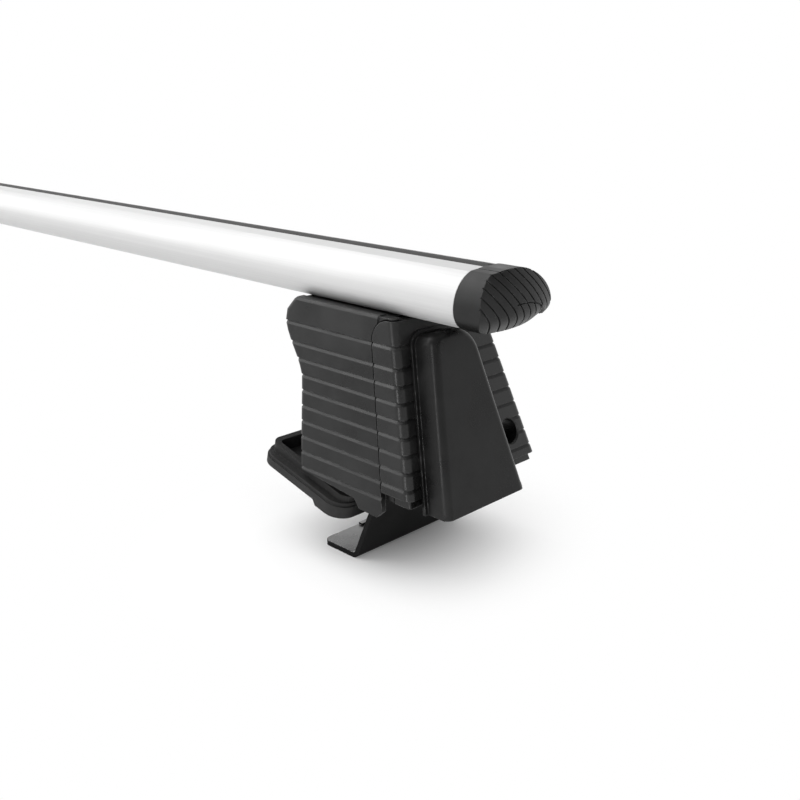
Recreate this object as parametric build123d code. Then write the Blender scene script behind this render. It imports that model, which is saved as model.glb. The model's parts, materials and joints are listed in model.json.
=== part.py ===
from build123d import *
import math
import os

# Roof rack crossbar: an aluminium bar of wing section carried by two clamp feet.
# Millimetres. X runs along the bar, Y fore and aft, Z up.
# The origin is on the floor under the middle of the bar, where the hooks' lips stand.

# Bar extrusion: a wing section, blunt in front and falling away behind
bar_length = 1130.0
bar_base = 134.0
bar_height = 28.2
bar_wall = 2.2
nose_reach = 26.5
nose_height = 11.0
nose_lower_radius = 10.5
nose_upper_radius = 17.3
crease_reach = 15.0
crease_height = 27.3
tail_reach = 26.8
tail_height = 5.0
tail_upper_radius = 24.6

# Upper slot with its rubber strip
strip_half_width = 4.8
strip_seat_depth = 1.4
strip_crown = 0.5
strip_clearance = 0.25
upper_slot_half_width = 3.2
slot_lip = 2.2
upper_channel_half_width = 6.5
upper_channel_depth = 5.0
strip_barb_half_width = 5.4
strip_barb_height = 2.4

# Lower slot for the tee bolts
slot_half_width = 5.5
lower_lip = 2.6
lower_channel_half_width = 10.2
lower_channel_depth = 7.0
web = 2.2

# End cap
collar_length = 17.0
collar_proud = 0.4
collar_edge = 0.6
end_bulge = 5.5
end_peak = 11.0
end_rise = 14.5
end_fall = 9.0
end_side_drop = 7.0
cap_groove_angle = 52.0
cap_groove_pitch = 4.35
cap_groove_width = 0.8
cap_groove_depth = 0.8
cap_groove_count = 10
cap_groove_first = -12.8
brow_start = -6.5
brow_step = 1.8
brow_height = 13.4
brow_middle = 10.1
brow_middle_height = 11.8
brow_end = 27.5
brow_tip = 0.8
brow_slit_width = 0.5
brow_slit_depth = 0.9
tab_half_width = 10.0
tab_back = 3.0
tab_slit = 0.7
tab_slit_depth = 0.9
plug_length = 20.0
plug_clearance = 0.3

# Foot tower, in the foot's own frame: origin on the bar's underside
foot_offset = 507.0
tower_half_width = 33.8
tower_shift = 1.7
tower_flare = 0.195
outer_face = 24.2
outer_flare = 0.33
inner_edge = -46.2
inner_flare = -0.166
head_bulge = 14.2
head_height = -9.5
head_upper_run = 19.0
head_lower_run = 32.0
tower_corner = 4.0
tower_least_corner = 0.8
tower_wall = 3.0
tower_round = 1.5
tower_depth = 95.5
tower_top = 1.5
saddle_clearance = 0.35
saddle_plate = 6.0
rib_groove_first = 11.9
rib_groove_second = 21.9
rib_groove_pitch = 7.95
rib_groove_count = 9
rib_groove_lip = 0.4
rib_groove_slope = 1.5
rib_groove_depth = 0.8

# Seam between foot body and outer frame
seam_top = 8.3
seam_flare = 0.287
seam_gap = 0.6
frame_top = 0.2
frame_arch = 9.0
frame_depth = 82.5
head_recess = 0.8
head_recess_start = 13.4
head_recess_drop = 20.0

# Lower edge of the foot body, with the lug beside the seam
body_edge_inner = 86.8
body_edge_outer = 90.8
body_edge_start = -31.0
lug_start = 13.5
lug_end = 35.5
lug_depth = 95.5
lug_slope = 4.5
lug_rise = 0.5

# Inner walls of the foot body
bulkhead_x = 5.0
bulkhead_thickness = 4.0
bulkhead_depth = 86.5
rib_y = 22.0
rib_thickness = 3.0
tongue_thickness = 2.4
tongue_reach = 5.0
tongue_top = 6.2
tongue_clearance = 0.35
skirt_thickness = 2.2
skirt_depth = 87.0
skirt_reveal = 0.8
skirt_height = 10.0

# Roof pad, a tilted rubber tub
pad_tilt = 14.0
pad_x = -30.8
pad_drop = 97.8
pad_length = 68.0
pad_width = 102.0
pad_corner = 11.0
pad_base = 4.4
pad_lip = 2.0
pad_lip_inset = 0.9
pad_heel = 2.6
pad_heel_start = 13.0
pad_heel_bevel = 2.5
pad_wall_inset = 5.3
pad_wall_end_inset = 2.0
pad_wall = 3.6
pad_wall_corner = 6.0
pad_wall_inner_height = 5.0
pad_wall_outer_height = 3.4
pad_floor = 3.6
pad_clearance = 0.5
pad_boss_radius = 2.6
pad_boss_height = 3.0
pad_boss_place = (-14.0, -27.0)

# Sole of the foot body, seated in the tub
sole_start = 1.5
sole_end = 25.0
sole_half_width = 38.0
sole_thickness = 4.0

# Clamp hook
hook_thickness = 3.0
hook_lean = 23.0
hook_corner_x = 1.2
hook_lip_end = -24.6
hook_bend = 2.5
hook_half_width = 38.0
hook_shoulder = 95.5
hook_neck = 83.5
hook_tongue_half_width = 14.0
hook_top = 61.5
hook_lip_corner = 4.0
tooth_half_width = 11.5
tooth_height = 1.2

# Clamp bolt, washer and nut
clamp_height = 74.5
clamp_radius = 4.0
clamp_length = 34.0
clamp_head_radius = 6.5
clamp_head = 8.0
clamp_key = 6.0
clamp_key_depth = 4.0
clamp_hole = 4.5
clamp_fit = 0.05
clamp_washer_radius = 8.0
clamp_washer_bore = 4.2
clamp_washer_thickness = 1.6
nut_across_flats = 13.0
nut_thickness = 6.5
nut_clearance = 0.15
boss_radius = 11.0
boss_gap = 8.0

# Lock cover on the outer frame
cover_depth = 14.0
cover_wall = 2.4
cover_taper = 3.0
cover_top = -8.4
cover_near_top = -21.5
cover_near_bottom = -41.5
cover_far_top = 9.5
cover_far_bottom = 23.0
cover_foot = 90.0
cover_run = 106.4
cover_near_corner = 8.0
cover_far_corner = 16.0
cover_edge = 4.5
cover_flange = 2.0
cover_flange_thickness = 1.6
cover_seat = 0.1

# Lock hole and access notch in the outer frame
lock_y = 34.2
lock_run = 71.2
lock_radius = 6.75
lock_chamfer = 0.8
lock_sleeve = 2.6
lock_length = 11.0
notch_half_width = 17.0
notch_top = 50.5
notch_corner = 6.0

# Screws that hold the outer frame
screw_y = (-13.0, 3.0)
screw_run = 22.4
screw_radius = 2.0
screw_length = 16.0
screw_head_radius = 3.6
screw_head = 2.2
screw_fit = 0.3
post_radius = 4.6
post_length = 24.0

# Tee bolts, washers and nuts under the bar
tee_x = (-34.0, -10.0)
tee_head = 19.0
tee_head_height = 5.0
tee_radius = 4.0
tee_reach = 18.0
tee_hole = 4.5
tee_washer_radius = 8.0
tee_washer_thickness = 1.6


def rect(y0, z0, y1, z1):
    """Flat rectangle between two corners of a sketch."""
    return Pos((y0 + y1) / 2, (z0 + z1) / 2) * Rectangle(abs(y1 - y0), abs(z1 - z0))


def face_of(*lines):
    """Closed flat face from a chain of lines and arcs."""
    chain = Curve() + list(lines)
    return make_face(chain)


def polygon(points):
    """Flat face from corner points."""
    return make_face(Polyline(*points, close=True))


def prism_xz(face, half_width):
    """Side outline, drawn in X and Z, swept across Y."""
    return extrude(Plane.XZ * face, amount=half_width, both=True)


def bar_outline(grow=0.0):
    """Wing section of the bar, grown by a constant amount all round."""
    base_front = (-nose_reach + nose_lower_radius, 0)
    nose = (-nose_reach, nose_lower_radius)
    nose_top = (-nose_reach, nose_height)
    crease = (-crease_reach, crease_height)
    strip_front = (-strip_half_width, bar_height)
    strip_back = (strip_half_width, bar_height)
    tail = (tail_reach, tail_height)
    base_back = (tail_reach - tail_height, 0)
    outline = face_of(
        RadiusArc(base_front, nose, nose_lower_radius),
        Line(nose, nose_top),
        RadiusArc(nose_top, crease, nose_upper_radius),
        Line(crease, strip_front),
        Line(strip_front, strip_back),
        RadiusArc(strip_back, tail, tail_upper_radius),
        RadiusArc(tail, base_back, tail_height),
        Line(base_back, base_front),
    )
    if grow == 0:
        return outline
    return offset(outline, grow, kind=Kind.INTERSECTION)


strip_seat = bar_height - strip_seat_depth
upper_channel_top = strip_seat - slot_lip
upper_channel_floor = upper_channel_top - upper_channel_depth
lower_channel_top = lower_lip + lower_channel_depth
upper_block = upper_channel_half_width + web
lower_block = lower_channel_half_width + web


def make_bar():
    """Hollow extrusion with a strip slot on top and a tee slot below."""
    hollow = bar_outline(-bar_wall)
    hollow -= rect(-upper_block, upper_channel_floor - web, upper_block, bar_height)
    hollow -= rect(-lower_block, 0, lower_block, lower_channel_top + web)
    hollow -= rect(-web / 2, 0, web / 2, bar_height)
    section = bar_outline() - hollow
    section -= rect(-strip_half_width, strip_seat, strip_half_width, bar_height)
    section -= rect(-upper_slot_half_width, upper_channel_top, upper_slot_half_width, strip_seat)
    section -= rect(-slot_half_width, 0, slot_half_width, lower_lip)
    half = upper_channel_half_width
    section -= rect(-half, upper_channel_floor, half, upper_channel_top)
    half = lower_channel_half_width
    section -= rect(-half, lower_lip, half, lower_channel_top)
    bar = extrude(Plane.YZ * section, amount=bar_length / 2, both=True)
    return Pos(0, 0, bar_base) * bar


def make_strip():
    """Rubber strip with a crowned face and a barbed stem in the slot."""
    half = strip_half_width - strip_clearance
    stem = upper_slot_half_width - strip_clearance
    barb_top = upper_channel_top - strip_clearance
    crown = face_of(
        Line((-half, strip_seat), (half, strip_seat)),
        Line((half, strip_seat), (half, bar_height)),
        ThreePointArc((half, bar_height), (0, bar_height + strip_crown), (-half, bar_height)),
        Line((-half, bar_height), (-half, strip_seat)),
    )
    barb_foot = barb_top - strip_barb_height
    section = crown + rect(-stem, barb_foot, stem, strip_seat)
    section += rect(-strip_barb_half_width, barb_foot, strip_barb_half_width, barb_top)
    strip = extrude(Plane.YZ * section, amount=bar_length / 2, both=True)
    return Pos(0, 0, bar_base) * strip


def end_bulge_at(z):
    """How far the middle of the cap's end stands beyond the collar at height z."""
    reach = end_rise if z > end_peak else end_fall
    return end_bulge * (1 - ((z - end_peak) / reach) ** 2)


def end_form():
    """Solid whose outer side is the domed end of the cap."""
    half = tail_reach + 3
    lowest = -2.0
    highest = bar_height + 3
    steps = 8
    sections = []
    for step in range(steps + 1):
        z = lowest + (highest - lowest) * step / steps
        front = collar_length + end_bulge_at(z)
        side = front - end_side_drop
        outline = face_of(
            Line((-1, -half), (side, -half)),
            ThreePointArc((side, -half), (front, 0), (side, half)),
            Line((side, half), (-1, half)),
            Line((-1, half), (-1, -half)),
        )
        sections.append(Pos(0, 0, z) * outline)
    return loft(sections)


def cap_grooves(form):
    """Slanting grooves of even depth across the domed end."""
    angle = math.radians(cap_groove_angle)
    shallow = Pos(-cap_groove_depth, 0, 0) * form
    slabs = Part()
    for index in range(cap_groove_count):
        offset = cap_groove_first + index * cap_groove_pitch
        centre = (collar_length, offset * math.sin(angle), offset * math.cos(angle))
        plane = Plane(centre, x_dir=(1, 0, 0), z_dir=(0, math.sin(angle), math.cos(angle)))
        slabs += plane * Box(3 * end_bulge, 6 * tail_reach, cap_groove_width)
    return slabs - shallow


def chin_form(form):
    """The domed end swung back about the brow's near end, for the chin below it."""
    swing = math.degrees(math.atan(brow_step / (brow_end - brow_start)))
    pivot = Pos(collar_length + end_bulge, brow_start, 0)
    back = Pos(-collar_length - end_bulge, -brow_start, 0)
    return pivot * Rot(0, 0, swing) * back * form


def brow_arc(drop):
    """Line of the brow, lowered by the given amount."""
    return ThreePointArc(
        (brow_start, brow_height - drop),
        (brow_middle, brow_middle_height - drop),
        (brow_end, brow_tip - drop),
    )


def seen_from_end(*lines):
    """Prism along the bar over an outline on the domed end."""
    return extrude(Plane.YZ.offset(collar_length / 2) * face_of(*lines), amount=collar_length + end_bulge)


def brow_region():
    """Space below the curved brow, seen from the end."""
    low = -2 * collar_proud - 2
    return seen_from_end(
        Line((brow_start, low), (brow_end, low)),
        Line((brow_end, low), (brow_end, brow_tip)),
        brow_arc(0),
        Line((brow_start, brow_height), (brow_start, low)),
    )


def brow_slit():
    """Thin slit along the underside of the brow."""
    return seen_from_end(
        brow_arc(0),
        Line((brow_end, brow_tip), (brow_end, brow_tip - brow_slit_width)),
        brow_arc(brow_slit_width),
        Line((brow_start, brow_height - brow_slit_width), (brow_start, brow_height)),
    )


def tab_slits():
    """Fine slits of even depth on three sides of the tab on the cap's top."""
    length = collar_length - tab_back
    height = bar_height + collar_proud
    slits = Pos(length, 0, height) * Box(tab_slit, 2 * tab_half_width + tab_slit, bar_height)
    for side in (-1, 1):
        slits += Pos(0, side * tab_half_width, height) * Box(2 * length, tab_slit, bar_height)
    under = Plane.YZ.offset(-1) * bar_outline(collar_proud - tab_slit_depth)
    return slits - extrude(under, amount=collar_length + 3 * end_bulge)


def make_cap():
    """End cap in its own frame: the bar's end at X = 0, its underside at Z = 0."""
    form = end_form()
    edge = extrude(Plane.YZ * bar_outline(collar_proud - collar_edge), amount=collar_edge)
    wall = extrude(Plane.YZ.offset(collar_edge) * bar_outline(collar_proud), amount=collar_length + end_bulge)
    body = (edge + wall) & form
    body -= cap_grooves(form)
    chin = chin_form(form)
    body -= brow_region() - chin
    body -= cap_grooves(chin) & brow_region()
    body -= brow_slit() - Pos(-brow_slit_depth, 0, 0) * chin
    body -= tab_slits()
    plug = bar_outline(-bar_wall - plug_clearance)
    gap = lower_block + plug_clearance
    plug -= rect(-gap, 0, gap, bar_height)
    body += extrude(Plane.YZ * plug, amount=-plug_length)
    return body


def half_width_at(z):
    """Half the tower's width across the bar at height z below the bar."""
    return tower_half_width - tower_flare * z


def outer_at(z):
    """Outer face of the tower at height z."""
    return outer_face - outer_flare * z


def seam_at(z):
    """Seam between foot body and outer frame at height z."""
    return seam_top - seam_flare * z


def inner_at(z):
    """Inner edge of the tower at height z, with the rounded head under the bar."""
    run = head_upper_run if z > head_height else head_lower_run
    swing = min(abs(z - head_height) / run, 1.0)
    bulge = head_bulge * math.cos(swing * math.pi / 2) ** 2
    return inner_edge + inner_flare * z - bulge


def tower_section(z, inset):
    """Rounded rectangle of the tower at height z, drawn in by an inset."""
    low = inner_at(z) + inset
    high = outer_at(z) - inset
    corner = max(tower_corner - inset, tower_least_corner)
    outline = RectangleRounded(high - low, 2 * (half_width_at(z) - inset), corner)
    return Pos((low + high) / 2, tower_shift, z) * outline


def ruled_solid(sections):
    """Solid with straight walls between the matching edges of stacked outlines."""
    faces = [sections[0].face(), sections[-1].face()]
    for upper, lower in zip(sections, sections[1:]):
        for one, other in zip(upper.edges(), lower.edges()):
            if one.geom_type == GeomType.LINE:
                wall = Face(Wire.make_polygon([one @ 0, one @ 1, other @ 1, other @ 0]))
            else:
                wall = Face.make_surface_from_curves(one, other)
            faces.append(wall)
    return Solid(Shell(faces))


def groove_heights():
    """Heights of the grooves round the tower."""
    lower = [rib_groove_second + index * rib_groove_pitch for index in range(rib_groove_count)]
    return [-rib_groove_first] + [-depth for depth in lower]


def ribbed_tower():
    """Outer form of the tower with its rounded top and the grooves all round."""
    stations = []
    for angle in (90, 45, 0):
        turn = math.radians(angle)
        drop = tower_round * (1 - math.sin(turn))
        stations.append((tower_top - drop, tower_round * (1 - math.cos(turn))))
    above = tower_top - tower_round
    for z in groove_heights():
        if z > head_height - head_lower_run:
            stations.append(((above + z) / 2, 0))
        stations.append((z + rib_groove_lip, 0))
        stations.append((z, rib_groove_depth))
        stations.append((z - rib_groove_slope, 0))
        above = z
    stations.append((-tower_depth, 0))
    return ruled_solid([tower_section(z, inset) for z, inset in stations])


def tower_core(inset, top, bottom=tower_depth + 1):
    """Plain inner form of the tower, drawn in by an inset."""
    bend_end = head_lower_run - head_height
    steps = 7
    depths = [bottom]
    if top < bend_end:
        depths = [top + (bend_end - top) * step / steps for step in range(steps + 1)] + depths
    else:
        depths = [top] + depths
    return ruled_solid([tower_section(-depth, inset) for depth in depths])


def frame_region(gap, floor):
    """Side outline of the outer frame, grown by a gap towards the foot body."""
    top = -frame_top + gap
    far = outer_face + outer_flare * tower_depth + 20
    outline = polygon([
        (seam_at(top) - gap, top),
        (far, top),
        (far, floor),
        (seam_at(floor) - gap, floor),
    ])
    corner = outline.vertices().sort_by(Axis.Y)[-2:].sort_by(Axis.X)[0]
    return prism_xz(fillet(corner, frame_arch + gap), pad_width)


def body_region():
    """Side outline of the foot body's walls, with the lug beside the seam."""
    far = -outer_face - 3 * head_bulge
    return prism_xz(polygon([
        (far, 10),
        (outer_face + 60, 10),
        (outer_face + 60, -body_edge_outer),
        (lug_end, -body_edge_outer),
        (lug_end - lug_slope, -lug_depth),
        (lug_start + lug_slope, -lug_depth + lug_rise),
        (lug_start, -body_edge_outer),
        (body_edge_start, -body_edge_inner),
        (far, -body_edge_inner),
    ]), pad_width)


def pad_plane():
    """Frame of the roof pad: its underside, tilted down towards the outside."""
    tilt = math.radians(pad_tilt)
    along = (math.cos(tilt), 0, -math.sin(tilt))
    up = (math.sin(tilt), 0, math.cos(tilt))
    return Plane((pad_x, 0, -pad_drop), x_dir=along, z_dir=up)


def face_plane():
    """Frame of the tower's outer face: Y across, up along the face, outwards."""
    slope = math.atan(outer_flare)
    return Plane((outer_face, 0, 0), x_dir=(0, 1, 0), z_dir=(math.cos(slope), 0, math.sin(slope)))


def hook_x(z):
    """Middle of the hook's leg at height z."""
    rise = z + bar_base - hook_thickness / 2
    return hook_corner_x + rise * math.tan(math.radians(hook_lean))


def clamp_plane():
    """Frame of the clamp bolt: on the hook's leg, pointing out of its outer face."""
    lean = math.radians(hook_lean)
    centre = (hook_x(-clamp_height), 0, -clamp_height)
    return Plane(centre, x_dir=(0, 1, 0), z_dir=(math.cos(lean), 0, -math.sin(lean)))


def rod(radius, start, end):
    """Round bar along a frame's own Z from start to end."""
    return Pos(0, 0, (start + end) / 2) * Cylinder(radius, abs(end - start))


def hexagon(across_flats, start, end):
    """Six-sided bar along a frame's own Z from start to end."""
    outline = RegularPolygon(across_flats / 2, 6, major_radius=False)
    return Pos(0, 0, min(start, end)) * extrude(outline, amount=abs(end - start))


nut_seat = -boss_gap - nut_thickness


def inner_walls():
    """Bulkhead, ribs and sole inside the foot body."""
    room = tower_core(tower_wall / 2, saddle_plate / 2)
    bulkhead = Pos(bulkhead_x + bulkhead_thickness / 2, 0, -bulkhead_depth / 2)
    walls = bulkhead * Box(bulkhead_thickness, 2 * pad_width, bulkhead_depth)
    far = -outer_face - 3 * head_bulge
    foot = pad_plane() * Pos(sole_start, 0, pad_floor + sole_thickness / 2)
    heel = pad_plane() * Pos(sole_end, 0, pad_floor + sole_thickness / 2)
    upright = prism_xz(polygon([
        (far, 0),
        (bulkhead_x + 1, 0),
        (bulkhead_x + 1, -bulkhead_depth),
        (heel.position.X, -body_edge_outer),
        (heel.position.X, heel.position.Z),
        (foot.position.X, foot.position.Z),
        (foot.position.X, -body_edge_inner),
        (far, -body_edge_inner),
    ]), rib_thickness / 2)
    for side in (-1, 1):
        walls += Pos(0, side * rib_y, 0) * upright
    walls &= room
    sole = Box(sole_end - sole_start, 2 * sole_half_width, sole_thickness)
    seat = Pos((sole_start + sole_end) / 2, 0, pad_floor + sole_thickness / 2)
    return walls + pad_plane() * seat * sole


def frame_tongues():
    """Tongues of the foot body that reach inside the outer frame."""
    inner = tower_wall + tongue_clearance + tongue_thickness
    root = tower_core(tower_wall / 2, tongue_top) - tower_core(inner, tongue_top)
    tip = tower_core(tower_wall + tongue_clearance, tongue_top) - tower_core(inner, tongue_top)
    floor = -body_edge_inner
    top = -tongue_top

    def band(start, end):
        return prism_xz(polygon([
            (seam_at(top) + start, top),
            (seam_at(top) + end, top),
            (seam_at(floor) + end, floor),
            (seam_at(floor) + start, floor),
        ]), pad_width)

    return (root & band(-2 * tongue_reach, -seam_gap)) + (tip & band(-2 * tongue_reach, tongue_reach))


def saddle_seat():
    """Seat of the bar in the foot's top, cut for either way round."""
    room = bar_outline(saddle_clearance) + mirror(bar_outline(saddle_clearance), about=Plane.YZ)
    room &= rect(-2 * tail_reach, 0, 2 * tail_reach, 2 * bar_height)
    return extrude(Plane.YZ * room, amount=2 * pad_length, both=True)


def make_foot_body(tower, core):
    """Inner half of the tower with the saddle, the inner walls and the bolt boss."""
    body = (tower - core) & body_region()
    body -= pad_plane() * pad_wall_block(pad_clearance)
    body -= frame_region(seam_gap, -2 * tower_depth)
    recess = Box(2 * pad_length, 4 * pad_width, 2 * head_recess_drop)
    recess = Pos(head_recess_start + pad_length, 0, 0) * recess
    body -= recess & (tower - tower_core(head_recess, -1))
    body += inner_walls()
    body += frame_tongues()
    body += clamp_plane() * rod(boss_radius, -boss_gap, -boss_gap - 2 * nut_thickness)
    for y in screw_y:
        body += face_plane() * Pos(y, -screw_run, 0) * rod(post_radius, -tower_wall, -post_length)
    body -= clamp_plane() * rod(clamp_hole, 0, -2 * clamp_length)
    body -= clamp_plane() * hexagon(nut_across_flats + 2 * nut_clearance, nut_seat, 0)
    for y in screw_y:
        body -= face_plane() * Pos(y, -screw_run, 0) * rod(screw_radius + screw_fit, 0, -screw_length - 1)
    for x in tee_x:
        body -= Pos(x, 0, 0) * rod(tee_hole, 1, -saddle_plate - 1)
    return body - saddle_seat()


def make_outer_frame(tower, core):
    """Outer half of the tower with the lock hole and the notch for the key."""
    frame = (tower - core) & frame_region(0, -frame_depth)
    low = skirt_depth - skirt_height
    ring = tower_core(tower_wall / 2, low, frame_depth - skirt_reveal)
    ring += tower_core(tower_wall, low, skirt_depth)
    ring -= tower_core(tower_wall + skirt_thickness, low, skirt_depth)
    reach = tongue_reach + 1
    frame += ring & prism_xz(polygon([
        (seam_at(-low) + reach, -low),
        (2 * pad_length, -low),
        (2 * pad_length, -skirt_depth),
        (seam_at(-skirt_depth) + reach, -skirt_depth),
    ]), pad_width)
    face = face_plane()
    lock = face * Pos(lock_y, -lock_run, 0)
    frame += lock * rod(lock_radius + lock_sleeve, -tower_wall / 2, -lock_length)
    frame -= lock * rod(lock_radius, 1, -lock_length - 1)
    frame -= lock * Pos(0, 0, -lock_chamfer / 2) * Cone(lock_radius, lock_radius + lock_chamfer, lock_chamfer)
    slope = math.cos(math.atan(outer_flare))
    notch = rect(-notch_half_width, -2 * frame_depth, notch_half_width, -notch_top / slope)
    notch = fillet(notch.vertices().sort_by(Axis.Y)[-2:], notch_corner)
    frame -= extrude(face * notch, amount=4 * tower_wall, both=True)
    for y in screw_y:
        frame -= face * Pos(y, -screw_run, 0) * rod(screw_radius + screw_fit, 1, -2 * tower_wall)
    return frame


def cover_outline(grow):
    """Outline of the cover on the tower's outer face, grown by an even amount."""
    outline = polygon([
        (cover_near_bottom - grow, -cover_run),
        (cover_far_bottom + grow, -cover_run),
        (cover_far_top + grow, cover_top + grow),
        (cover_near_top - grow, cover_top + grow),
    ])
    top = outline.vertices().sort_by(Axis.Y)[-2:].sort_by(Axis.X)
    outline = fillet(top[0], cover_near_corner + grow)
    far = outline.vertices().sort_by(Axis.X)[-2:].sort_by(Axis.Y)[-1]
    return fillet(far, cover_far_corner + grow)


def make_lock_cover():
    """Smooth hollow cover with a thin flange round its base."""
    shell = extrude(cover_outline(0), amount=cover_depth, taper=cover_taper)
    rim = shell.faces().sort_by(Axis.Z)[-1].edges().sort_by(Axis.Y)[1:]
    shell = fillet(rim, cover_edge)
    flange = extrude(cover_outline(cover_flange), amount=cover_flange_thickness)
    hollow = extrude(cover_outline(-cover_wall), amount=cover_depth - cover_wall, taper=cover_taper)
    body = face_plane() * Pos(0, 0, cover_seat) * (shell + flange - hollow)
    floor = Pos(0, 0, -cover_foot - cover_run / 2) * Box(4 * pad_width, 4 * pad_width, cover_run)
    plate = extrude(cover_outline(0), amount=cover_depth - cover_edge / 2, taper=cover_taper)
    end = face_plane() * Pos(0, 0, cover_seat) * plate
    slice_height = Pos(0, 0, -cover_foot + cover_wall / 2) * Box(4 * pad_width, 4 * pad_width, cover_wall)
    return (body - floor) + (end & slice_height)


def pad_wall_block(grow):
    """Solid under the tub's sloping brim, grown by an even amount."""
    top = pad_base + pad_lip
    half = pad_length / 2 - pad_wall_end_inset
    width = pad_width - 2 * pad_wall_inset
    outline = RectangleRounded(2 * (half + grow), width + 2 * grow, pad_wall_corner + grow)
    block = Pos(0, 0, top) * extrude(outline, amount=2 * pad_wall_inner_height)
    brim = prism_xz(polygon([
        (-half, top + pad_wall_inner_height + grow),
        (half, top + pad_wall_outer_height + grow),
        (pad_length, top + pad_wall_outer_height + grow),
        (pad_length, top + 3 * pad_wall_inner_height),
        (-pad_length, top + 3 * pad_wall_inner_height),
        (-pad_length, top + pad_wall_inner_height + grow),
    ]), pad_width)
    return block - brim


def make_roof_pad():
    """Rubber tub with a stepped flange and a wall that is lower at the outer end."""
    base = extrude(RectangleRounded(pad_length, pad_width, pad_corner), amount=pad_base)
    heel_block = prism_xz(polygon([
        (pad_heel_start, 0),
        (pad_heel_start + pad_heel_bevel, -pad_heel),
        (pad_length, -pad_heel),
        (pad_length, 0),
    ]), pad_width)
    sole = Pos(0, 0, -pad_heel) * extrude(
        RectangleRounded(pad_length, pad_width, pad_corner), amount=pad_heel)
    lip_inset = 2 * pad_lip_inset
    lip = Pos(0, 0, pad_base) * extrude(
        RectangleRounded(pad_length - lip_inset, pad_width - lip_inset, pad_corner - pad_lip_inset),
        amount=pad_lip)
    top = pad_base + pad_lip
    length = pad_length - 2 * pad_wall_end_inset
    width = pad_width - 2 * pad_wall_inset
    hollow = Pos(0, 0, pad_floor) * extrude(
        RectangleRounded(length - 2 * pad_wall, width - 2 * pad_wall, pad_wall_corner - pad_wall),
        amount=top + pad_wall_inner_height)
    boss = Pos(pad_boss_place[0], pad_boss_place[1], pad_floor + pad_boss_height / 2)
    pad = base + (sole & heel_block) + lip + pad_wall_block(0) - hollow
    pad += boss * Cylinder(pad_boss_radius, pad_boss_height)
    return pad_plane() * pad


def make_hook():
    """Bent steel plate: a lip under the roof edge, a leaning leg and a bolt tongue."""
    half = hook_thickness / 2
    lean = math.radians(hook_lean)
    across = (half * math.cos(lean), -half * math.sin(lean))
    mid_lip = -bar_base + half
    top = (hook_x(-hook_top), -hook_top)
    inner = hook_corner_x - half * math.tan((math.pi / 2 - lean) / 2)
    outer = hook_corner_x + half * math.tan((math.pi / 2 - lean) / 2)
    outline = polygon([
        (hook_lip_end, mid_lip - half),
        (outer, mid_lip - half),
        (top[0] + across[0], top[1] + across[1]),
        (top[0] - across[0], top[1] - across[1]),
        (inner, mid_lip + half),
        (hook_lip_end, mid_lip + half),
    ])
    bend_in = [v for v in outline.vertices() if abs(v.X - inner) < 0.01][0]
    outline = fillet(bend_in, hook_bend)
    bend_out = [v for v in outline.vertices() if abs(v.X - outer) < 0.01][0]
    outline = fillet(bend_out, hook_bend + hook_thickness)
    plate = prism_xz(outline, hook_half_width)
    front = polygon([
        (-hook_half_width, -bar_base),
        (hook_half_width, -bar_base),
        (hook_half_width, -hook_shoulder),
        (hook_tongue_half_width, -hook_neck),
        (hook_tongue_half_width, 0),
        (-hook_tongue_half_width, 0),
        (-hook_tongue_half_width, -hook_neck),
        (-hook_half_width, -hook_shoulder),
    ])
    plate &= extrude(Plane.YZ * front, amount=4 * pad_length, both=True)
    reach = 4 * pad_length
    plan = RectangleRounded(reach, 2 * hook_half_width, hook_lip_corner)
    plate &= Pos(hook_lip_end + reach / 2, 0, -bar_base) * extrude(plan, amount=bar_base)
    tooth = Box(hook_thickness, 2 * tooth_half_width, hook_thickness + tooth_height)
    plate += Pos(hook_lip_end + half, 0, -bar_base + half + tooth_height / 2) * tooth
    return plate - clamp_plane() * rod(clamp_hole, -hook_thickness, hook_thickness)


clamp_seat = hook_thickness / 2 + clamp_washer_thickness


def make_clamp_bolt():
    """Socket-head bolt through the hook's leg."""
    bolt = rod(clamp_radius, clamp_seat, clamp_seat - clamp_length)
    bolt += rod(clamp_head_radius, clamp_seat, clamp_seat + clamp_head)
    top = clamp_seat + clamp_head
    return clamp_plane() * (bolt - hexagon(clamp_key, top - clamp_key_depth, top + 1))


def make_clamp_washer():
    """Washer between the bolt's head and the hook."""
    low = hook_thickness / 2
    ring = rod(clamp_washer_radius, low, clamp_seat) - rod(clamp_washer_bore, low - 1, clamp_seat + 1)
    return clamp_plane() * ring


def make_clamp_nut():
    """Nut held in the foot body's boss."""
    nut = hexagon(nut_across_flats, nut_seat, nut_seat + nut_thickness)
    return clamp_plane() * (nut - rod(clamp_radius + clamp_fit, nut_seat - 1, 0))


def make_frame_screws():
    """Pan-head screws through the outer frame into the foot body's posts."""
    screws = []
    for y in screw_y:
        screw = rod(screw_radius, 0, -screw_length) + rod(screw_head_radius, 0, screw_head)
        screws.append(face_plane() * Pos(y, -screw_run, 0) * screw)
    return Compound(screws)


def make_tee_bolts():
    """Tee bolts: square heads in the bar's lower slot, shanks through the saddle."""
    bolts = []
    for x in tee_x:
        head = Pos(0, 0, lower_lip + tee_head_height / 2) * Box(tee_head, tee_head, tee_head_height)
        bolts.append(Pos(x, 0, 0) * (head + rod(tee_radius, lower_lip, -tee_reach)))
    return Compound(bolts)


def make_tee_washers():
    """Washers under the saddle."""
    low = -saddle_plate - tee_washer_thickness
    ring = rod(tee_washer_radius, low, -saddle_plate) - rod(tee_hole, low - 1, 0)
    return Compound([Pos(x, 0, 0) * ring for x in tee_x])


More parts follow.
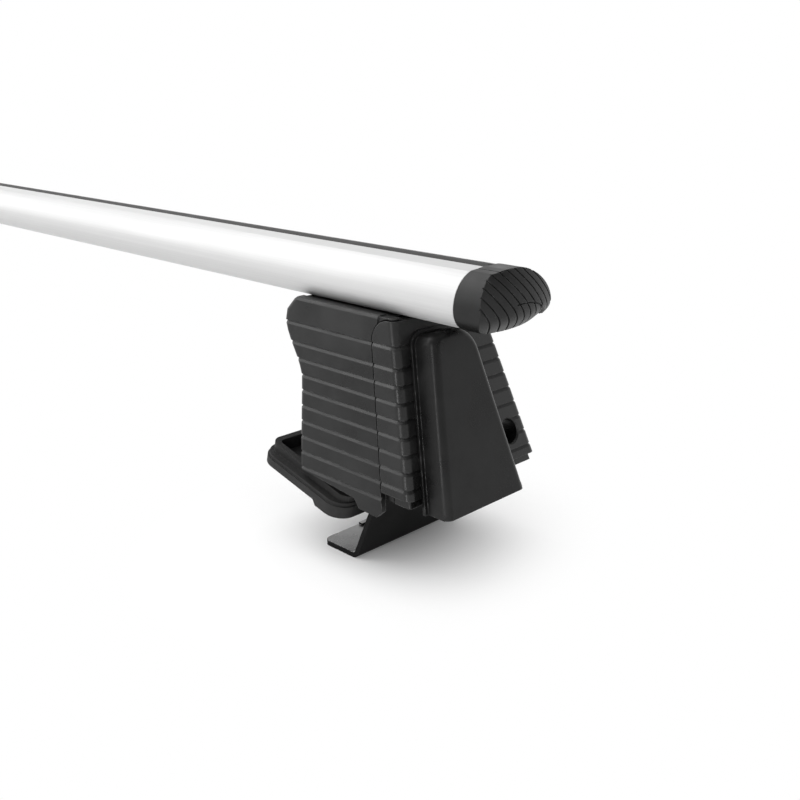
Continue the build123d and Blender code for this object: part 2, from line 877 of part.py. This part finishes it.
def make_tee_nuts():
    """Nuts on the tee bolts."""
    top = -saddle_plate - tee_washer_thickness
    nut = hexagon(nut_across_flats, top - nut_thickness, top)
    nut -= rod(tee_radius + clamp_fit, top - nut_thickness - 1, top + 1)
    return Compound([Pos(x, 0, 0) * nut for x in tee_x])


def make_foot():
    """All pieces of one foot, in the foot's own frame."""
    tower = ribbed_tower()
    core = tower_core(tower_wall, saddle_plate)
    return {
        "foot_body": make_foot_body(tower, core),
        "outer_frame": make_outer_frame(tower, core),
        "lock_cover": make_lock_cover(),
        "roof_pad": make_roof_pad(),
        "clamp_hook": make_hook(),
        "clamp_bolt": make_clamp_bolt(),
        "clamp_washer": make_clamp_washer(),
        "clamp_nut": make_clamp_nut(),
        "frame_screws": make_frame_screws(),
        "tee_bolts": make_tee_bolts(),
        "tee_washers": make_tee_washers(),
        "tee_nuts": make_tee_nuts(),
    }


def main():
    """Build every piece and write one file for each."""
    os.makedirs("parts", exist_ok=True)
    pieces = {"bar_profile": make_bar(), "top_strip": make_strip()}
    for name, shape in make_foot().items():
        placed = Pos(foot_offset, 0, bar_base) * shape
        pieces[name + "_right"] = placed
        pieces[name + "_left"] = Rot(0, 0, 180) * placed
    cap = Pos(bar_length / 2, 0, bar_base) * make_cap()
    pieces["end_cap_right"] = cap
    pieces["end_cap_left"] = mirror(cap, about=Plane.YZ)
    for name, shape in pieces.items():
        export_step(shape, f"parts/{name}.step")


main()
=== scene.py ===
import json
import math

import bmesh
import bpy
from mathutils import Matrix, Quaternion, Vector


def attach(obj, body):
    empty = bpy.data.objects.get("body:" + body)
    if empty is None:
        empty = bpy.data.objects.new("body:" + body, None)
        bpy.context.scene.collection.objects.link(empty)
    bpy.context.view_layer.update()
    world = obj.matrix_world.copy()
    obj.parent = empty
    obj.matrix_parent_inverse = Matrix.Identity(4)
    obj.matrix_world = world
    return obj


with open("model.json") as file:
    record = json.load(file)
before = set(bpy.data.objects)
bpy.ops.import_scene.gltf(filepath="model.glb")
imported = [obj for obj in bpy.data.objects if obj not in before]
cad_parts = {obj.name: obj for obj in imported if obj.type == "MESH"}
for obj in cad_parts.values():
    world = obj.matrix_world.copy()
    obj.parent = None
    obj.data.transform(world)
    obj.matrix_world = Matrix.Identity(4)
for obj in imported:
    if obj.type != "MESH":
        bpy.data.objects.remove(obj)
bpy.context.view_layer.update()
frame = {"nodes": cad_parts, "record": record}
nodes = frame["nodes"]

# Lengths are in metres
MM = 0.001

# Camera at the photograph's angle; pixels are those of the square photograph
camera_place = Vector((857.0, -356.6, 246.2)) * MM
camera_turn = math.radians(44.68)
camera_drop = math.radians(18.28)
focal_pixels = 970.0
image_pixels = 800.0
sensor_width = 36.0

# Oval web at the end of the clamp bore, inside the inner wall of each foot; its rim is a share of its size
bore_end_place = Vector((469.3, 0.0, 82.6)) * MM
bore_end_lean = math.atan(0.166)
bore_end_size = Vector((0.8, 9.0, 3.6)) * MM
bore_end_inset = 0.9 * MM
bore_end_sides = 32
bore_end_rim = 0.08
bore_end_rim_steps = 2

# All materials: range of the noise that is spread over two tones, rounding of sharp edges,
# and the cosines between which an edge goes from untouched to rubbed and painted lighter as an edge
# highlight
ramp_range = (0.35, 0.65)
bevel_samples = 6
edge_cosines = (0.985, 0.82)

# Moulded plastics: noise per metre, shares of the tone, changes of the roughness, height of the grain
plastic_cloud = 38.0
plastic_tones = (0.6, 1.5)
plastic_gloss = (-0.09, 0.10)
plastic_grain_strength = 0.32
plastic_grain_height = 0.12 * MM
# Pale spots along edges: partly rubbed wear, partly a painted highlight on the edges
edge_wear_highlight_scale = 240.0
edge_wear_highlight_range = (0.48, 0.68)
edge_wear_highlight_tones = (0.07, 0.11)

# Rubbers, by the same kinds of value
rubber_dust = 55.0
rubber_tones = (0.85, 1.3)
rubber_dust_warmth = 0.015
rubber_gloss = (-0.04, 0.10)
rubber_pit_strength = 0.3
rubber_pit_height = 0.10 * MM
rubber_edge = 0.5 * MM
rubber_sheen = 0.2

# Anodised bar: drawing lines along the bar
line_scale = (3.0, 1500.0, 1500.0)
bar_cloud_scale = (9.0, 60.0, 60.0)
bar_tones = (0.55, 0.58)
bar_roughness = (0.48, 0.56)
bar_metallic = 0.5
line_strength = 0.06
line_height = 0.08 * MM
bar_edge = 0.3 * MM

# Powder-coated hook: painted lighter and metallic where it faces up, a painted highlight on the upper
# faces
peel_scale = 1400.0
hook_cloud = 45.0
hook_up_highlight_range = (0.4, 0.95)
hook_coat_tones = (0.006, 0.012)
# Pale tones painted on the up-facing faces as a highlight
hook_up_highlight_tones = (0.25, 0.36)
hook_coat_roughness = (0.46, 0.56)
hook_up_highlight_roughness = (0.24, 0.34)
hook_coat_sheen = 0.05
peel_strength = 0.25
peel_height = 0.12 * MM
hook_edge = 0.5 * MM

# Zinc-plated screws
mottle_scale = 160.0
turning_scale = 2200.0
zinc_tones = (0.50, 0.62)
zinc_warmth = (0.02, -0.01)
zinc_roughness = (0.30, 0.42)
turning_strength = 0.12
turning_height = 0.08 * MM
zinc_edge = 0.3 * MM

# Studio: floor with the shade round each foot, surround, and lamps
floor_half = 12.0
floor_colour = 0.90
floor_roughness = 0.9
floor_sheen = 0.1
floor_lift = 0.02
foot_place = 0.487
shade_reach = (0.125, 0.155)
shade_core = 0.9
surround_bright = 0.70
surround_dim = 0.30
surround_side = Vector((-0.75, -0.45, 0.2))
surround_span = 0.8
ceiling = 0.35
ceiling_start = 0.28
ceiling_end = 0.62
key_place = Vector((-0.35, -0.50, 0.85))
key_size = (0.3, 1.4)
key_power = 4.2
key_roll = math.radians(43.5)
top_place = Vector((-0.05, -0.10, 1.5))
top_size = (2.2, 1.8)
top_power = 21.0
side_place = Vector((-1.05, -0.40, 0.60))
side_size = (0.9, 0.5)
side_power = 3.0
bounce_place = Vector((0.74, -0.17, 0.02))
bounce_size = (0.25, 0.15)
bounce_power = 0.16
strip_place = Vector((0.68, -0.66, 0.23))
strip_size = (0.08, 0.42)
strip_power = 0.9
aim = Vector((0.45, 0.0, 0.1))


def grey(value, warm=0.0):
    """Neutral colour, a little warmer or cooler."""
    return (value * (1 + warm), value, value * (1 - warm), 1.0)


def greys(values):
    """Two neutral colours."""
    return [grey(value) for value in values]


def map_range(tree, value, start, end, low, high):
    """Smooth step of a value from low to high."""
    node = tree.nodes.new("ShaderNodeMapRange")
    node.interpolation_type = "SMOOTHSTEP"
    node.inputs["From Min"].default_value = start
    node.inputs["From Max"].default_value = end
    node.inputs["To Min"].default_value = low
    node.inputs["To Max"].default_value = high
    tree.links.new(value, node.inputs["Value"])
    return node.outputs["Result"]


class Shader:
    """One node material: a Principled shader with a few helpers for its inputs."""

    def __init__(self, name):
        self.material = bpy.data.materials.new(name)
        self.material.use_nodes = True
        self.tree = self.material.node_tree
        self.shader = self.tree.nodes["Principled BSDF"]
        self.coords = self.tree.nodes.new("ShaderNodeTexCoord")

    def put(self, **values):
        """Set constants on the shader's own sockets."""
        for key, value in values.items():
            self.shader.inputs[key.replace("_", " ")].default_value = value

    def link(self, start, end):
        """Link an output to an input."""
        self.tree.links.new(start, end)

    def feed(self, start, name):
        """Link a value or colour to one of the shader's own inputs."""
        self.link(start, self.shader.inputs[name])

    def stretched(self, scale):
        """Object coordinates in metres, stretched by a scale along each axis."""
        mapping = self.tree.nodes.new("ShaderNodeMapping")
        mapping.inputs["Scale"].default_value = scale
        self.link(self.coords.outputs["Object"], mapping.inputs["Vector"])
        return mapping.outputs["Vector"]

    def noise(self, scale, detail, roughness):
        """Noise whose features are about one over scale in size, in metres: one scale, or one per axis."""
        scales = scale if isinstance(scale, tuple) else (scale, scale, scale)
        node = self.tree.nodes.new("ShaderNodeTexNoise")
        node.inputs["Scale"].default_value = 1.0
        node.inputs["Detail"].default_value = detail
        node.inputs["Roughness"].default_value = roughness
        self.link(self.stretched(scales), node.inputs["Vector"])
        return node.outputs["Fac"]

    def ramp(self, value, colours):
        """Two colours spread over the middle range of a noise."""
        node = self.tree.nodes.new("ShaderNodeValToRGB")
        for stop, place, colour in zip(node.color_ramp.elements, ramp_range, colours):
            stop.position = place
            stop.color = colour
        self.link(value, node.inputs["Fac"])
        return node.outputs["Color"]

    def bump(self, height, strength, distance, edge):
        """Normals of a relief on a surface whose edges are rounded."""
        node = self.tree.nodes.new("ShaderNodeBump")
        node.inputs["Strength"].default_value = strength
        node.inputs["Distance"].default_value = distance
        self.link(height, node.inputs["Height"])
        self.link(self.rounded(edge), node.inputs["Normal"])
        return node.outputs["Normal"]

    def facing_up(self, limits):
        """Zero on sides and undersides, one where the surface faces up."""
        geometry = self.tree.nodes.new("ShaderNodeNewGeometry")
        split = self.tree.nodes.new("ShaderNodeSeparateXYZ")
        self.link(geometry.outputs["Normal"], split.inputs["Vector"])
        return map_range(self.tree, split.outputs["Z"], *limits, 0.0, 1.0)

    def mixed(self, share, first, second):
        """Blend of two colours by a share of the second; sockets 6, 7 and 2 are the colour ones."""
        node = self.tree.nodes.new("ShaderNodeMix")
        node.data_type = "RGBA"
        self.link(share, node.inputs["Factor"])
        self.link(first, node.inputs[6])
        self.link(second, node.inputs[7])
        return node.outputs[2]

    def edges(self, radius):
        """One along sharp edges within a radius in metres, zero on the faces."""
        geometry = self.tree.nodes.new("ShaderNodeNewGeometry")
        dot = self.tree.nodes.new("ShaderNodeVectorMath")
        dot.operation = "DOT_PRODUCT"
        self.link(self.rounded(radius), dot.inputs[0])
        self.link(geometry.outputs["Normal"], dot.inputs[1])
        return map_range(self.tree, dot.outputs["Value"], *edge_cosines, 0.0, 1.0)

    def product(self, first, second):
        """Two values multiplied."""
        node = self.tree.nodes.new("ShaderNodeMath")
        node.operation = "MULTIPLY"
        self.link(first, node.inputs[0])
        self.link(second, node.inputs[1])
        return node.outputs["Value"]

    def rounded(self, radius):
        """Normals that round off sharp edges by a radius in metres."""
        node = self.tree.nodes.new("ShaderNodeBevel")
        node.samples = bevel_samples
        node.inputs["Radius"].default_value = radius
        return node.outputs["Normal"]


def moulded_plastic(name, tone, rough, grain, edge, sheen):
    """Black moulded plastic: spark-eroded grain, cloudy gloss, softened edges with pale spots that are
    partly rubbed wear and partly a painted edge highlight.
    """
    shader = Shader(name)
    fine = shader.noise(grain, detail=2.0, roughness=0.6)
    cloud = shader.noise(plastic_cloud, detail=4.0, roughness=0.6)
    patches = shader.noise(edge_wear_highlight_scale, detail=3.0, roughness=0.6)
    # Edges lightened in random patches: rubbed wear and a painted edge highlight
    wear_and_highlight = shader.product(shader.edges(edge), map_range(shader.tree, patches, *edge_wear_highlight_range, 0.0, 1.0))
    body = shader.ramp(cloud, greys(tone * share for share in plastic_tones))
    wear_highlight_colour = shader.ramp(cloud, greys(edge_wear_highlight_tones))
    shader.feed(shader.mixed(wear_and_highlight, body, wear_highlight_colour), "Base Color")
    shader.feed(shader.ramp(cloud, greys(rough + change for change in plastic_gloss)), "Roughness")
    shader.feed(shader.bump(fine, plastic_grain_strength, plastic_grain_height, edge), "Normal")
    shader.put(Specular_IOR_Level=sheen)
    return shader.material


def rubber(name, tone, rough, grain):
    """Black rubber: dull, finely pitted, with pale dusty patches."""
    shader = Shader(name)
    pits = shader.noise(grain, detail=3.0, roughness=0.65)
    dust = shader.noise(rubber_dust, detail=5.0, roughness=0.65)
    clean, dusty = [tone * share for share in rubber_tones]
    shader.feed(shader.ramp(dust, [grey(clean), grey(dusty, rubber_dust_warmth)]), "Base Color")
    shader.feed(shader.ramp(dust, greys(rough + change for change in rubber_gloss)), "Roughness")
    shader.feed(shader.bump(pits, rubber_pit_strength, rubber_pit_height, rubber_edge), "Normal")
    shader.put(Specular_IOR_Level=rubber_sheen)
    return shader.material


def anodised(name):
    """Satin anodised aluminium with fine drawing lines along the bar."""
    shader = Shader(name)
    lines = shader.noise(line_scale, detail=3.0, roughness=0.6)
    cloud = shader.noise(bar_cloud_scale, detail=3.0, roughness=0.5)
    shader.feed(shader.ramp(lines, greys(bar_tones)), "Base Color")
    shader.feed(shader.ramp(cloud, greys(bar_roughness)), "Roughness")
    shader.feed(shader.bump(lines, line_strength, line_height, bar_edge), "Normal")
    shader.put(Metallic=bar_metallic)
    return shader.material


def coated_steel(name):
    """Black powder coat with a fine orange-peel skin, painted lighter and metallic where it faces up: a
    painted highlight on the upper faces.
    """
    shader = Shader(name)
    peel = shader.noise(peel_scale, detail=2.0, roughness=0.5)
    cloud = shader.noise(hook_cloud, detail=4.0, roughness=0.6)
    # Painted highlight: surfaces that face up get a pale metallic tone and a smoother finish
    up_highlight = shader.facing_up(hook_up_highlight_range)
    tones = [shader.ramp(cloud, greys(pair)) for pair in (hook_coat_tones, hook_up_highlight_tones)]
    dulls = [shader.ramp(cloud, greys(pair)) for pair in (hook_coat_roughness, hook_up_highlight_roughness)]
    shader.feed(shader.mixed(up_highlight, *tones), "Base Color")
    shader.feed(shader.mixed(up_highlight, *dulls), "Roughness")
    shader.feed(up_highlight, "Metallic")
    shader.feed(shader.bump(peel, peel_strength, peel_height, hook_edge), "Normal")
    shader.put(Specular_IOR_Level=hook_coat_sheen)
    return shader.material


def zinc_steel(name):
    """Bright zinc-plated steel with a faintly mottled passivation."""
    shader = Shader(name)
    mottle = shader.noise(mottle_scale, detail=5.0, roughness=0.6)
    turned = shader.noise(turning_scale, detail=2.0, roughness=0.5)
    tones = [grey(tone, warm) for tone, warm in zip(zinc_tones, zinc_warmth)]
    shader.feed(shader.ramp(mottle, tones), "Base Color")
    shader.feed(shader.ramp(mottle, greys(zinc_roughness)), "Roughness")
    shader.feed(shader.bump(turned, turning_strength, turning_height, zinc_edge), "Normal")
    shader.put(Metallic=1.0)
    return shader.material


# Tone, roughness, grain per metre, edge radius and sheen of each plastic and rubber
slot_materials = {
    "bar_aluminium": anodised("bar_aluminium_satin"),
    "strip_rubber": rubber("strip_rubber_black", 0.030, 0.55, 1500.0),
    "cap_plastic": moulded_plastic("cap_plastic_black", 0.010, 0.38, 1900.0, 0.5 * MM, 0.25),
    "body_plastic": moulded_plastic("body_plastic_black", 0.008, 0.36, 1700.0, 0.5 * MM, 0.32),
    "frame_plastic": moulded_plastic("frame_plastic_black", 0.008, 0.34, 1700.0, 0.6 * MM, 0.38),
    "cover_plastic": moulded_plastic("cover_plastic_black", 0.008, 0.32, 1900.0, 0.8 * MM, 0.22),
    "pad_rubber": rubber("pad_rubber_black", 0.022, 0.58, 1300.0),
    "hook_steel": coated_steel("hook_steel_coated"),
    "bolt_steel": zinc_steel("bolt_steel_zinc"),
}

for part in frame["record"]["subparts"]:
    piece = nodes[part["node"]]
    piece.data.materials.clear()
    piece.data.materials.append(slot_materials[part["material_slot"]])


def make_bore_end(side, turn):
    """Oval web that closes the clamp bore in the inner wall of a foot."""
    name = "bore_end_" + side
    shape = bmesh.new()
    bmesh.ops.create_cone(
        shape, cap_ends=True, segments=bore_end_sides, radius1=0.5, radius2=0.5, depth=1.0
    )
    rims = [edge for edge in shape.edges if abs(edge.verts[0].co.z - edge.verts[1].co.z) < 0.1]
    bmesh.ops.bevel(
        shape, geom=rims, offset=bore_end_rim, segments=bore_end_rim_steps, affect="EDGES"
    )
    bmesh.ops.rotate(shape, verts=shape.verts, matrix=Matrix.Rotation(math.pi / 2, 3, "Y"))
    bmesh.ops.scale(shape, verts=shape.verts, vec=bore_end_size)
    bmesh.ops.translate(shape, verts=shape.verts, vec=Vector((bore_end_inset, 0.0, 0.0)))
    bmesh.ops.rotate(shape, verts=shape.verts, matrix=Matrix.Rotation(-bore_end_lean, 3, "Y"))
    bmesh.ops.translate(shape, verts=shape.verts, vec=bore_end_place)
    bmesh.ops.rotate(shape, verts=shape.verts, matrix=Matrix.Rotation(turn, 3, "Z"))
    mesh = bpy.data.meshes.new(name)
    shape.to_mesh(mesh)
    shape.free()
    mesh.materials.append(slot_materials["body_plastic"])
    piece = bpy.data.objects.new(name, mesh)
    bpy.context.scene.collection.objects.link(piece)
    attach(piece, "foot_" + side)


make_bore_end("right", 0.0)
make_bore_end("left", math.pi)


def when_seen(tree):
    """One where a camera, glossy or transmission ray looks, zero elsewhere."""
    path = tree.nodes.new("ShaderNodeLightPath")
    seen = path.outputs["Is Camera Ray"]
    for name in ("Is Glossy Ray", "Is Transmission Ray"):
        node = tree.nodes.new("ShaderNodeMath")
        node.operation = "MAXIMUM"
        tree.links.new(seen, node.inputs[0])
        tree.links.new(path.outputs[name], node.inputs[1])
        seen = node.outputs["Value"]
    return seen


def make_world():
    """White surround to look at and to mirror, under a darker ceiling; as light it has a bright side."""
    world = bpy.data.worlds.new("studio")
    bpy.context.scene.world = world
    world.use_nodes = True
    tree = world.node_tree
    background = tree.nodes["Background"]
    background.inputs["Color"].default_value = grey(1.0)
    coords = tree.nodes.new("ShaderNodeTexCoord")
    side = tree.nodes.new("ShaderNodeVectorMath")
    side.operation = "DOT_PRODUCT"
    side.inputs[1].default_value = surround_side.normalized()
    tree.links.new(coords.outputs["Generated"], side.inputs[0])
    facing = side.outputs["Value"]
    light = map_range(tree, facing, -surround_span, surround_span, surround_dim, surround_bright)
    white = tree.nodes.new("ShaderNodeMix")
    tree.links.new(when_seen(tree), white.inputs["Factor"])
    tree.links.new(light, white.inputs["A"])
    height = tree.nodes.new("ShaderNodeSeparateXYZ")
    tree.links.new(coords.outputs["Generated"], height.inputs["Vector"])
    look = map_range(tree, height.outputs["Z"], ceiling_start, ceiling_end, 1.0, ceiling)
    tree.links.new(look, white.inputs["B"])
    tree.links.new(white.outputs["Result"], background.inputs["Strength"])


def near_foot(tree, side):
    """One under a foot, falling to zero at the reach of its shadow."""
    coords = tree.nodes.new("ShaderNodeTexCoord")
    place = tree.nodes.new("ShaderNodeMapping")
    place.inputs["Location"].default_value = (-side * foot_place / shade_reach[0], 0.0, 0.0)
    place.inputs["Scale"].default_value = (1 / shade_reach[0], 1 / shade_reach[1], 1.0)
    tree.links.new(coords.outputs["Object"], place.inputs["Vector"])
    near = tree.nodes.new("ShaderNodeTexGradient")
    near.gradient_type = "SPHERICAL"
    tree.links.new(place.outputs["Vector"], near.inputs["Vector"])
    return near.outputs["Fac"]


def make_floor():
    """Plain pale floor that keeps the shadows round the feet and fades to white."""
    mesh = bpy.data.meshes.new("floor")
    corners = [(-1, -1), (1, -1), (1, 1), (-1, 1)]
    mesh.from_pydata([(x * floor_half, y * floor_half, 0.0) for x, y in corners], [], [(0, 1, 2, 3)])
    floor = bpy.data.objects.new("floor", mesh)
    bpy.context.scene.collection.objects.link(floor)
    material = bpy.data.materials.new("floor_paper")
    material.use_nodes = True
    tree = material.node_tree
    paper = tree.nodes["Principled BSDF"]
    paper.inputs["Base Color"].default_value = grey(floor_colour)
    paper.inputs["Roughness"].default_value = floor_roughness
    paper.inputs["Specular IOR Level"].default_value = floor_sheen
    near = near_foot(tree, 1)
    other = near_foot(tree, -1)
    nearest = tree.nodes.new("ShaderNodeMath")
    nearest.operation = "MAXIMUM"
    tree.links.new(near, nearest.inputs[0])
    tree.links.new(other, nearest.inputs[1])
    fade = map_range(tree, nearest.outputs["Value"], 0.0, shade_core, 1.0, floor_lift)
    lift = tree.nodes.new("ShaderNodeMath")
    lift.operation = "MULTIPLY"
    tree.links.new(fade, lift.inputs[0])
    tree.links.new(when_seen(tree), lift.inputs[1])
    white = tree.nodes.new("ShaderNodeEmission")
    both = tree.nodes.new("ShaderNodeMixShader")
    tree.links.new(lift.outputs["Value"], both.inputs["Fac"])
    tree.links.new(paper.outputs["BSDF"], both.inputs[1])
    tree.links.new(white.outputs["Emission"], both.inputs[2])
    tree.links.new(both.outputs["Shader"], tree.nodes["Material Output"].inputs["Surface"])
    mesh.materials.append(material)


def soft_lamp(name, place, size, power, roll=0.0):
    """Soft box, wide by high, aimed at the foot and turned about its aim."""
    light = bpy.data.lights.new(name, "AREA")
    light.shape = "RECTANGLE"
    light.size = size[0]
    light.size_y = size[1]
    light.energy = power
    lamp = bpy.data.objects.new(name, light)
    lamp.location = place
    turn = (aim - place).to_track_quat("-Z", "Y") @ Quaternion((0.0, 0.0, 1.0), roll)
    lamp.rotation_euler = turn.to_euler()
    lamp.visible_camera = False
    bpy.context.scene.collection.objects.link(lamp)


def make_camera():
    """Camera at the photograph's angle and framing."""
    data = bpy.data.cameras.new("camera")
    data.sensor_width = sensor_width
    data.lens = focal_pixels / image_pixels * sensor_width
    data.clip_end = 4 * floor_half
    camera = bpy.data.objects.new("camera", data)
    camera.location = camera_place
    camera.rotation_euler = (math.pi / 2 - camera_drop, 0.0, camera_turn)
    bpy.context.scene.collection.objects.link(camera)
    bpy.context.scene.camera = camera


make_world()
make_floor()
soft_lamp("key_light", key_place, key_size, key_power, key_roll)
soft_lamp("side_light", side_place, side_size, side_power)
soft_lamp("top_light", top_place, top_size, top_power)
soft_lamp("bounce_light", bounce_place, bounce_size, bounce_power)
soft_lamp("strip_light", strip_place, strip_size, strip_power)
make_camera()
bpy.context.scene.view_settings.view_transform = "Standard"
